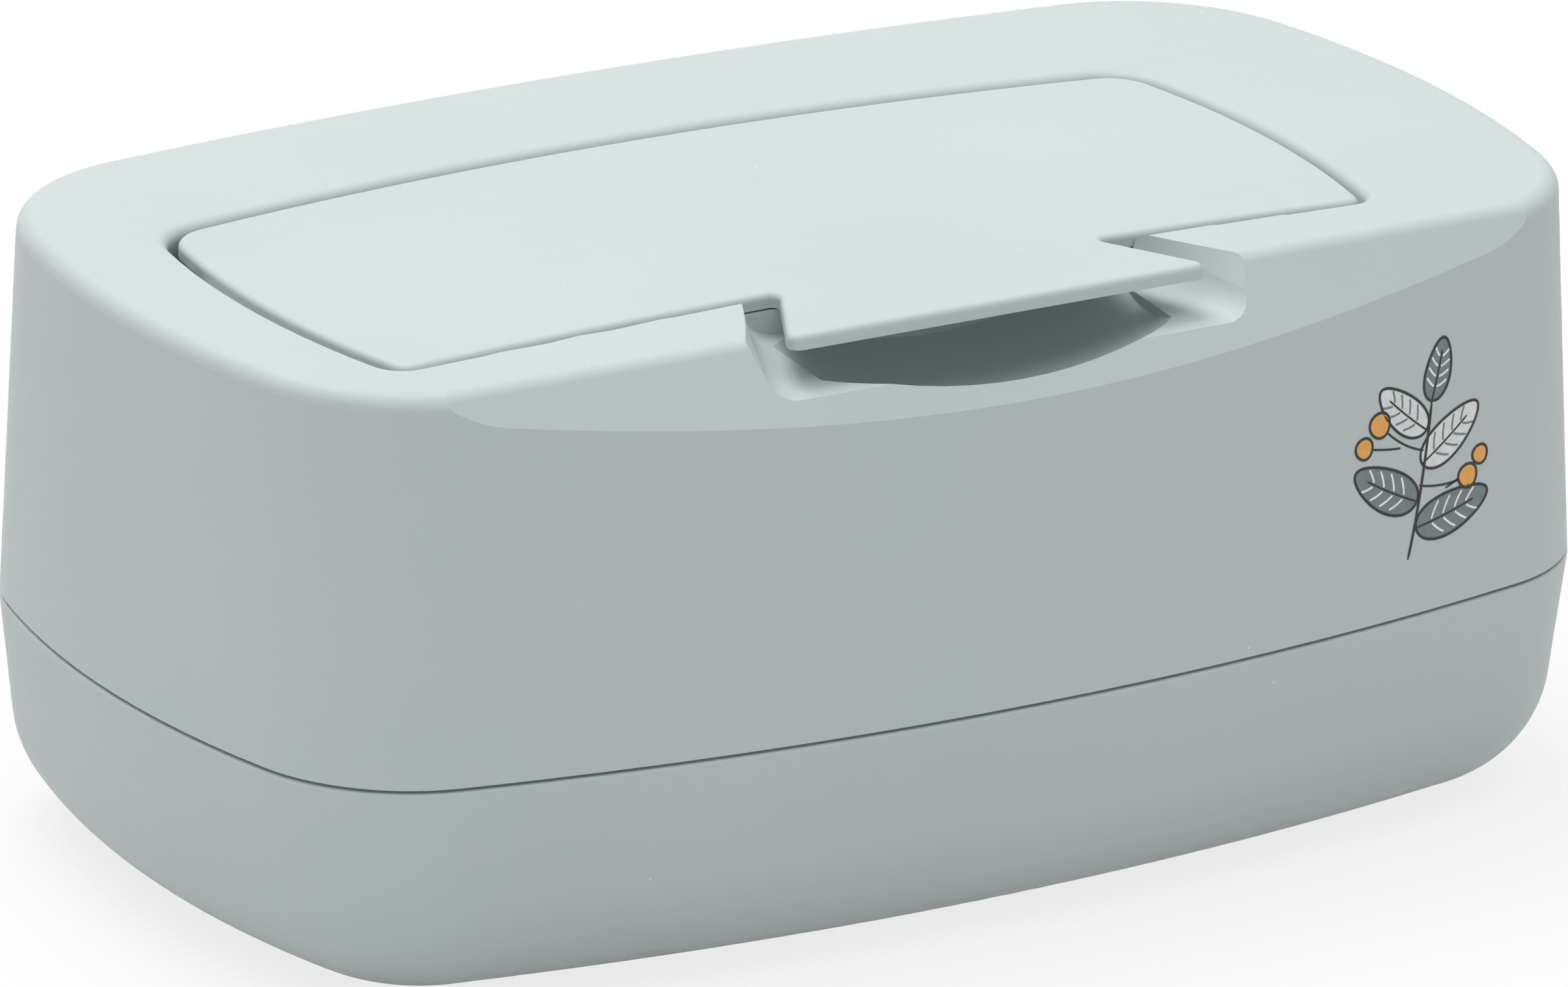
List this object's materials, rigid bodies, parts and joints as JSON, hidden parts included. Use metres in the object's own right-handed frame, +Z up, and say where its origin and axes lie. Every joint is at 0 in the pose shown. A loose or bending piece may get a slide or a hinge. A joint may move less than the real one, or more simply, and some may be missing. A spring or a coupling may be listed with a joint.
{
  "type": "baby wipes box",
  "caption": "Rounded lidded box for wet wipes: deep lower tub, lift-off cover with a finger scoop, and a flush flap lid with a tab that hinges at the rear.",
  "frame": {"origin": "middle of the plane that the four foot pads stand on, below the middle of the box", "axes": "+Z up, -Y towards the front with the finger scoop, +X to the right seen from the front, along the box's length"},
  "size_m": [0.2318, 0.1324, 0.0937],
  "materials": {
    "tub_plastic": "satin matte moulded polypropylene, pale sage grey",
    "cover_plastic": "satin matte moulded polypropylene, pale sage grey",
    "lid_plastic": "satin matte moulded polypropylene, pale sage grey",
    "seal_rubber": "soft translucent white elastomer",
    "pin_steel": "plain drawn steel pin",
    "pad_rubber": "soft grey non-slip rubber"
  },
  "bodies": {
    "base": {"base_tub": "tub_plastic", "foot_pad_front_left": "pad_rubber", "foot_pad_front_right": "pad_rubber", "foot_pad_back_left": "pad_rubber", "foot_pad_back_right": "pad_rubber"},
    "cover": {"top_cover": "cover_plastic"},
    "flap": {"lid": "lid_plastic", "lid_seal": "seal_rubber", "hinge_pin_left": "pin_steel", "hinge_pin_right": "pin_steel"}
  },
  "joints": [
    {"name": "cover_lift", "type": "slide", "parent": "base", "child": "cover", "axis": [0, 0, 1], "range_m": [0, 0.1]},
    {"name": "lid_hinge", "type": "hinge", "parent": "cover", "child": "flap", "pos_m": [-0.0097, 0.017, 0.0901], "axis": [-1, 0, 0], "range_deg": [0, 105]}
  ]
}
